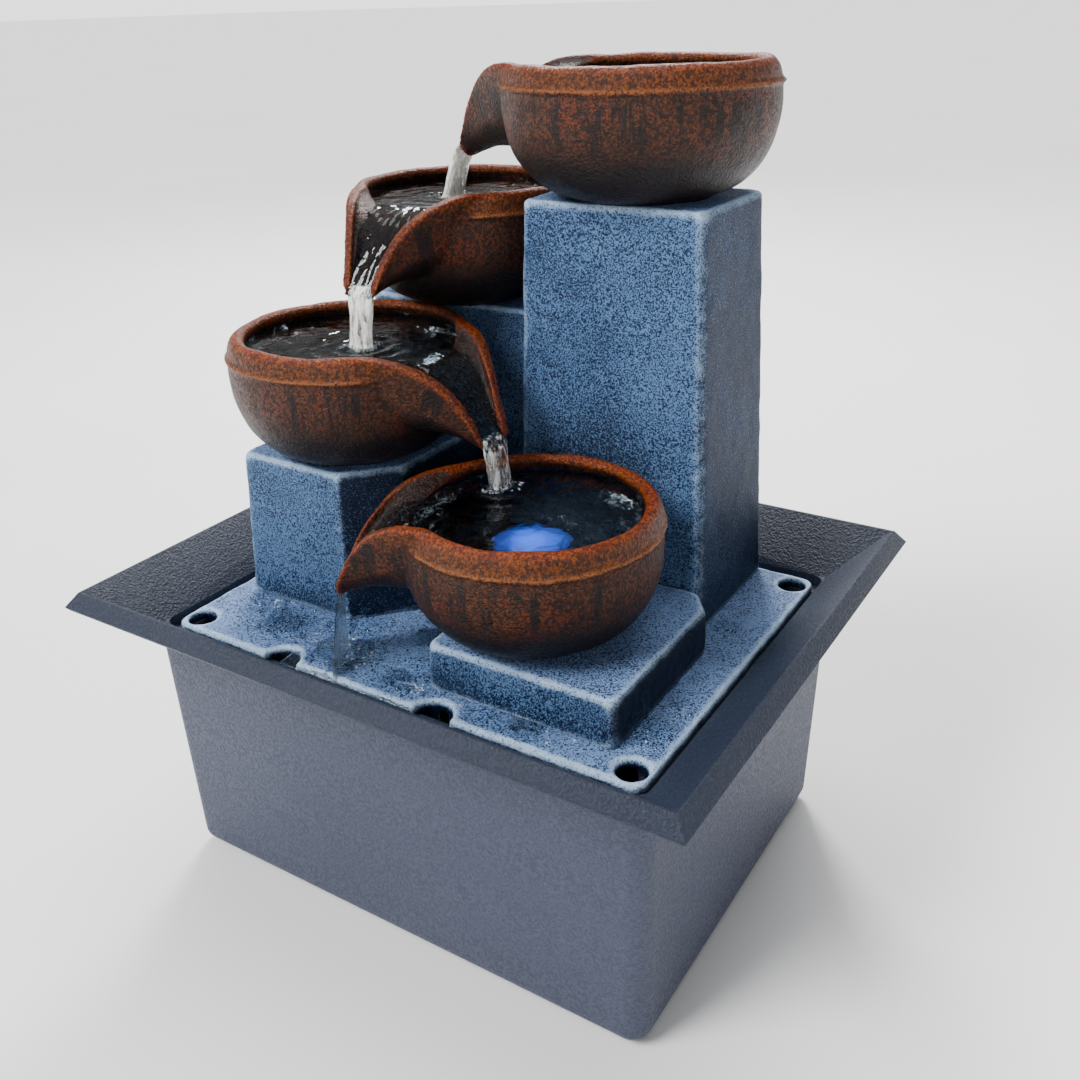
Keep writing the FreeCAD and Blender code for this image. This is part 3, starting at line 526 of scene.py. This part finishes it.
def bowl_skin(node):
    """A bowl's skin: rise is 0 at its foot and 1 at its rim, u runs out along its spout."""
    (cx, cy), size, deg, foot = BOWLS[node]
    ob, me = cast_skin(node, BOWL_VOXEL, [(0.014, 0.00045, 5 + cx), (0.005, 0.00016, 7 + cx)])
    co, no, edges = read(me)
    c = convexity(co, no, edges, 2)
    x, y = co[:, 0] - cx * MM, co[:, 1] - cy * MM
    r = np.maximum(np.hypot(x, y), 1e-6)
    rise = (co[:, 2] - foot * MM) / (BOWL_H * MM)
    outward = (no[:, 0] * x + no[:, 1] * y) / r
    cos, sin = math.cos(math.radians(deg)), math.sin(math.radians(deg))
    u = (x * cos + y * sin) / size
    across = np.abs(x * sin - y * cos) / size

    # The inside below the water and the wetted channel go near black: wet, and painted shade under the
    # water
    inside = step(-outward, 0.2, 0.6) * (rise < 0.97) + (no[:, 2] > 0.6) * (rise < 0.75)
    inside = np.clip(inside, 0, 1) * step(-rise, -0.90, -0.855) * (u < 0.040)
    trough = np.interp(u, np.array(REACH) * MM, np.array(CHANNEL_HALF) * MM)
    wetted = (u > 0.026) * (u < 0.056)
    wetted = wetted * step(trough - across, 0.0004, 0.0022) * step(no[:, 2], 0.05, 0.25)
    inside = np.maximum(inside, wetted * (0.45 if node == "bowl_upper" else 0.85))

    # Painted shade on undersides: they are painted as if they were lower down, where the body is darker
    under_spout_shade = step(u, 0.036, 0.046) * step(-no[:, 2], 0.05, 0.5)
    rise = rise - 0.28 * step(-no[:, 2], 0.05, 0.75) - 0.30 * under_spout_shade
    bead = np.exp(-((rise - BEAD_AT) * BOWL_H / 0.65) ** 2) * step(outward, 0.5, 0.8) * (u < 0.030)
    set_places(me, co + no * (bead * BEAD_RELIEF)[:, None])

    # Rim, spout lips and convex edges for the orange paint and its painted highlight
    rim = step(rise, 0.94, 0.985)
    lipped = step(u, 0.034, 0.050) * step(c, 0.0, 0.06)
    edge = np.clip(step(c, 0.05, 0.15) + 0.8 * rim + 0.4 * lipped, 0, 1)
    keep(me, "edge", spread(edge, edges, 2))
    keep(me, "bead", bead)
    keep(me, "rise", rise)
    keep(me, "inside", spread(inside, edges, 3))
    turned = np.stack([x / r * 0.038, y / r * 0.038, co[:, 2] * 0.12], 1)
    keep(me, "turned", turned, "FLOAT_VECTOR")
    hand_over(ob, "deck", node, CLAY)


def basin_skin():
    """The basin with its edges rounded."""
    ob = link("basin_skin", welded("basin"))
    bm = bmesh.new()
    bm.from_mesh(ob.data)
    bmesh.ops.dissolve_limit(bm, angle_limit=math.radians(0.6), verts=bm.verts, edges=bm.edges)
    bm.to_mesh(ob.data)
    bm.free()
    m = ob.modifiers.new("rounding", "BEVEL")
    m.width, m.segments, m.limit_method, m.angle_limit = 0.0006, 3, "ANGLE", math.radians(28)
    m.harden_normals = True
    smooth(baked(ob))
    hand_over(ob, "basin", "basin", BASIN)


for name in STONES:
    stone_skin(name)
for name in BOWLS:
    bowl_skin(name)
basin_skin()


# ---- water ---------------------------------------------------------------------------------
DECK = DECK_Z / MM
LEVEL_DROP = 4.5
TIP_U = 58.4
# The inside of a bowl: height above the foot against radius, up to where its wall stands upright
INNER_R, INNER_H = [20, 27.6, 31.8, 33.9], [4.5, 8.4, 14.6, 21.5]
WALL_R, WALL_H = 33.6, 34.5
# A pool reaches just into the wall, so that no gap shows round it
POOL_R, POOL_BACK_U = 34.2, -33.9
# Depths below the rim: the channel's bed at each REACH, and the water's surface along the spout
CHANNEL_DROP = [7.0, 7.0, 8.0, 14.5, 21.5, 27.4]
SURFACE_U = [-60, 31, 35, 39, 43, 47, 50, 53, 57.5, 58.6]
SURFACE_DROP = [LEVEL_DROP, LEVEL_DROP, 4.8, 5.8, 8.6, 12.4, 15.8, 19.6, 25.7, 27.8]
# Where a stream leaves its spout: distance out from the bowl's centre, depth below the rim
LEAVES_U, LEAVES_DROP = 56.3, 24.6
LEVELS = {n: BOWLS[n][3] + BOWL_H - LEVEL_DROP for n in BOWLS}
# Bowl above, bowl below, how far the water carries
CASCADE = [("bowl_top", "bowl_upper", 9.0), ("bowl_upper", "bowl_lower", 2.0),
           ("bowl_lower", "bowl_bottom", 3.0)]


def water_piece(name, me, mat):
    """Hand a mesh over as water that rides on the deck."""
    smooth(me)
    me.materials.append(mat)
    ob = link(name, me)
    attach(ob, "deck")


def closed_piece(name, verts, faces, mat):
    me = bpy.data.meshes.new(name)
    me.from_pydata(verts, [], faces)
    me.validate()
    bm = bmesh.new()
    bm.from_mesh(me)
    bmesh.ops.recalc_face_normals(bm, faces=bm.faces)
    bm.to_mesh(me)
    bm.free()
    water_piece(name, me, mat)


def closed_sheet(name, top, low, nu, nv, mat):
    """Two matching grids of nu rows of nv points, joined round their border."""
    n, faces = nu * nv, []
    for i in range(nu - 1):
        for j in range(nv - 1):
            a, b = i * nv + j, i * nv + j + 1
            c, d = b + nv, a + nv
            faces += [(a, d, c, b), (n + a, n + b, n + c, n + d)]
    rim = [i * nv for i in range(nu)] + [(nu - 1) * nv + j for j in range(1, nv)]
    rim += [i * nv + nv - 1 for i in range(nu - 2, -1, -1)] + list(range(nv - 2, 0, -1))
    for a, b in zip(rim, rim[1:] + rim[:1]):
        faces.append((a, n + a, n + b, b))
    closed_piece(name, top + low, faces, mat)


def channel_floor(u, v):
    """Depth below the rim of the spout's channel at (u, v)."""
    half = np.interp(u, REACH, CHANNEL_HALF)
    sag, chord = 0.28 * half, 0.9 * half
    radius = (chord * chord + sag * sag) / (2 * sag)
    v = min(abs(v), chord)
    return np.interp(u, REACH, CHANNEL_DROP) - (radius - math.sqrt(radius * radius - v * v))


def local(node):
    """A bowl's centre, size, directions along and across its spout, and rim height."""
    (cx, cy), size, deg, foot = BOWLS[node]
    a = math.radians(deg)
    u, v = np.array([math.cos(a), math.sin(a)]), np.array([-math.sin(a), math.cos(a)])
    return np.array([cx, cy]), size, u, v, foot + BOWL_H


def land_at(node, out):
    centre, size, ud, _, _ = local(node)
    return centre + size * (LEAVES_U + out) * ud


def surface_wave(x, y, u, v, landing, phase, seed):
    """Height of a pool's ripples: rings where a stream lands, a dome where the pump feeds it."""
    w = 0.22 * noise.noise(Vector((x / 9, y / 9, seed * 3.3)))
    w += 0.10 * noise.noise(Vector((x / 3.2, y / 3.2, seed)))
    if landing is not None:
        d = math.hypot(x - landing[0], y - landing[1])
        w += 0.65 * math.cos(d * 1.05 + phase) * math.exp(-d / 8.5)
    else:
        r = math.hypot(u, v)
        w += 1.6 * math.exp(-(r / 7.0) ** 2) + 0.30 * math.cos(r * 0.9) * math.exp(-r / 14)
    if u > 32:
        w += 0.55 * noise.noise(Vector((u / 3.4, v / 1.7, seed * 2.1)))
    return w


def pool_floor(u, v, top):
    """Underside of the water: the bowl's inside and the channel's bed, whichever is lower."""
    r, z = math.hypot(u, v), math.inf
    if r < POOL_R + 0.1:
        inside = WALL_H if r > WALL_R else np.interp(r, INNER_R, INNER_H)
        z = top - BOWL_H + inside - 0.5
    if u > 30 and abs(v) <= np.interp(u, REACH, CHANNEL_HALF) + 0.5:
        z = min(z, top - channel_floor(u, v) - 0.4)
    return z


def pool(node, landing, seed):
    """Closed body of water: its top follows the level and runs down the spout."""
    centre, size, ud, vd, top = local(node)
    nu, nv = 190, 110
    us = np.linspace(POOL_BACK_U, TIP_U, nu)
    ring = np.sqrt(np.maximum(POOL_R ** 2 - us ** 2, 0.0))
    chan = np.where(us > 14, np.interp(us, REACH, CHANNEL_HALF) + 0.5, 0)
    half = np.maximum(np.maximum(ring, chan), 0.8)
    phase = random.Random(seed).uniform(0, 6.28)
    surface, floor = [], []
    for i, u in enumerate(us):
        calm = 1.0 if u < 32 else 0.8
        for j in range(nv):
            v = half[i] * math.sin((j / (nv - 1) * 2 - 1) * math.pi / 2)
            x, y = centre + size * (u * ud + v * vd)
            climb = 0.35 * math.exp(-(half[i] - abs(v)) / 0.9)
            wave = surface_wave(x, y, u, v, landing, phase, seed)
            zt = top - np.interp(u, SURFACE_U, SURFACE_DROP) + wave * calm + climb * calm
            surface.append((x * MM, y * MM, zt * MM))
            floor.append((x * MM, y * MM, min(pool_floor(u, v, top), zt - 0.3) * MM))
    closed_sheet("water_" + node, surface, floor, nu, nv, POOL)


def stream(node, floor_z, out, mat, fan, seed, wide):
    """Water leaving a spout and landing out from it; a stream with a fan spreads as a thin sheet."""
    centre, size, ud, vd, top = local(node)
    z0 = top - LEAVES_DROP
    drop = z0 - floor_z
    steady = 0.25 if drop > 25 else 0.4
    rings, segs = 64, 40
    verts, faces = [], []
    for i in range(rings):
        t = i / (rings - 1)
        u = LEAVES_U + out * t ** 0.75
        z = z0 - drop * (steady * t + (1 - steady) * t * t)
        half = wide * (4.7 - 0.9 * min(1, t * 1.6)) + fan * t * t
        thick = 0.45 if fan else 1.0 + 1.1 * min(1, t * 2.2)
        if t > 0.93 and fan == 0:
            half += (t - 0.93) / 0.07 * 1.3
            thick += (t - 0.93) / 0.07 * 1.2
        for k in range(segs):
            a = 2 * math.pi * k / segs
            ca, sa = math.cos(a), math.sin(a)
            rip = noise.noise(Vector((ca * 2.2, sa * 2.2, t * drop / 7.0 + seed))) * 0.55
            rip += noise.noise(Vector((ca * 5, sa * 5, t * drop / 2.6 + seed))) * 0.22
            v = ca * (half + rip)
            w = sa * (thick + rip * (0.15 if fan else 0.8))
            x, y = centre + size * ((u + w) * ud + v * vd)
            verts.append((x * MM, y * MM, z * MM))
    for i in range(rings - 1):
        for k in range(segs):
            a, b = i * segs + k, i * segs + (k + 1) % segs
            faces.append((a, b, b + segs, a + segs))
    faces += [tuple(range(segs)), tuple((rings - 1) * segs + k for k in range(segs))]
    closed_piece("stream_" + node, verts, faces, mat)


def film(name, at, reach, seed):
    """A puddle: its surface dips under the deck where it's thin, which gives it a natural edge."""
    n = 96
    top, low = [], []
    for i in range(n):
        for j in range(n):
            x = at[0] + reach * (2 * i / (n - 1) - 1)
            y = at[1] + reach * (2 * j / (n - 1) - 1)
            d = math.hypot(x - at[0], y - at[1]) / reach
            broad = noise.noise(Vector((x / 7.5, y / 7.5, seed)))
            small = noise.noise(Vector((x / 2.4, y / 2.4, seed + 9)))
            h = 0.75 * (0.30 + broad + 0.35 * small) - 1.5 * max(0.0, d - 0.45)
            top.append((x * MM, y * MM, (DECK + max(-0.8, h)) * MM))
            low.append((x * MM, y * MM, (DECK - 1.0) * MM))
    closed_sheet(name, top, low, n, n, FILM_WATER)


def drops(name, spots, mat, seed):
    """Beads of water as one mesh. spots: (x, y, z, spread, how many, largest radius)."""
    rng = random.Random(seed)
    bm = bmesh.new()
    for x, y, z, wide, count, largest in spots:
        for _ in range(count):
            a, d = rng.uniform(0, 2 * math.pi), wide * math.sqrt(rng.random())
            r = largest * (0.35 + 0.65 * rng.random() ** 2)
            bead = bmesh.ops.create_icosphere(bm, subdivisions=2, radius=r * MM)["verts"]
            squash = rng.uniform(0.45, 0.75)
            stretch, turn = rng.uniform(1.0, 1.7), rng.uniform(0, math.pi)
            for vert in bead:
                px, py = vert.co.x * stretch, vert.co.y
                vert.co.x = px * math.cos(turn) - py * math.sin(turn) + (x + d * math.cos(a)) * MM
                vert.co.y = px * math.sin(turn) + py * math.cos(turn) + (y + d * math.sin(a)) * MM
                vert.co.z = vert.co.z * squash + (z + 0.1 * r) * MM
    me = bpy.data.meshes.new(name)
    bm.to_mesh(me)
    bm.free()
    water_piece(name, me, mat)


pool("bowl_top", None, 1)
for seed, (above, below, out) in enumerate(CASCADE, 2):
    pool(below, land_at(above, out), seed)

# Material, seed and width of each stream between two bowls
STREAMS = [(FROTHY, 11, 1.15), (FROTHY, 23, 1.1), (CLEAR, 37, 1.15)]
for (above, below, out), (mat, seed, wide) in zip(CASCADE, STREAMS):
    stream(above, LEVELS[below] - 1.0, out, mat, 0.0, seed, wide)
stream("bowl_bottom", DECK + 0.3, 3.5, VEIL, 7.0, 51, 1.0)

PUDDLES = [((-24, -50), 13), ((-52, -46), 11), ((2, -54), 9), ((44, -55), 7), ((-6, -30), 10)]
for k, (at, reach) in enumerate(PUDDLES):
    film("film_%d" % (k + 1), at, reach, 3.7 * k + 1.3)

drops("drops_deck", [(-22, -50, DECK, 14, 70, 0.9), (-58, -42, DECK, 14, 46, 0.9),
                     (4, -55, DECK, 7, 34, 0.8), (45, -57, DECK, 4, 30, 0.7),
                     (-6, -24, DECK, 9, 26, 0.8), (76, -28, DECK, 4, 18, 0.7),
                     (72, 30, DECK, 4, 12, 0.7)], FILM_WATER, 5)
# Milky beads where the water lands: some foam, and painted glints on the wet deck
drops("drops_foam_glint", [(-20, -51, DECK, 7, 34, 0.55), (-32, -44, DECK, 7, 22, 0.5),
                     (-62, -38, DECK, 6, 16, 0.45), (8, -54, DECK, 3, 16, 0.5),
                     (22, -54, DECK, 4, 12, 0.45), (56, -54, DECK, 6, 14, 0.45),
                     (73, -42, DECK, 3, 7, 0.4)], GLINT, 6)
drops("drops_pools", [(*land_at(above, out), LEVELS[below] + 0.1, 6.5, 26, 0.75)
                      for above, below, out in CASCADE], CLEAR, 8)

# ---- floor, light --------------------------------------------------------------------------
FLOOR_HALF, FLOOR_DROP = 60.0, 0.0002
# Sky brightness at the horizon, where surfaces mirror it, and overhead
SKY_LOW, SKY_HIGH = 2.2, 0.28
LIGHTS_AIM = (0, 0, 0.12)

floor = link("floor", bpy.data.meshes.new("floor"))
bm = bmesh.new()
bmesh.ops.create_grid(bm, x_segments=2, y_segments=2, size=FLOOR_HALF)
bm.to_mesh(floor.data)
bm.free()
floor.location.z = -FLOOR_DROP
floor.data.materials.append(plain_material("floor_white", (0.90, 0.90, 0.90, 1),
                                           (0.92, 0.92, 0.92, 1), 0.6, 3.0, 0.0, 0.0))

world = bpy.data.worlds.new("world")
bpy.context.scene.world = world
world.use_nodes = True
wt = world.node_tree
direction = add(wt, "ShaderNodeTexCoord").outputs["Generated"]
height = add(wt, "ShaderNodeSeparateXYZ", {0: direction}).outputs[2]
wire(wt, wt.nodes["Background"], {0: (1.0, 1.0, 1.0, 1.0),
                                  1: span(wt, height, 0.03, 0.16, SKY_LOW, SKY_HIGH)})


def light(kind, name, at, power, **props):
    data = bpy.data.lights.new(name, kind)
    data.energy = power
    for k, v in props.items():
        setattr(data, k, v)
    ob = link(name, data)
    ob.location = at
    ob.rotation_mode = "QUATERNION"
    ob.rotation_quaternion = (Vector(LIGHTS_AIM) - Vector(at)).to_track_quat("-Z", "Y")


light("SUN", "key", (-0.50, -0.85, 1.05), 4.3, angle=math.radians(26))
light("SUN", "overhead", (-0.15, 0.35, 1.20), 2.5, angle=math.radians(50))
light("SUN", "fill", (1.30, -0.45, 0.30), 0.8, angle=math.radians(40))
light("AREA", "glint", (-0.45, 0.75, 0.85), 13.0, shape="SQUARE", size=0.28)
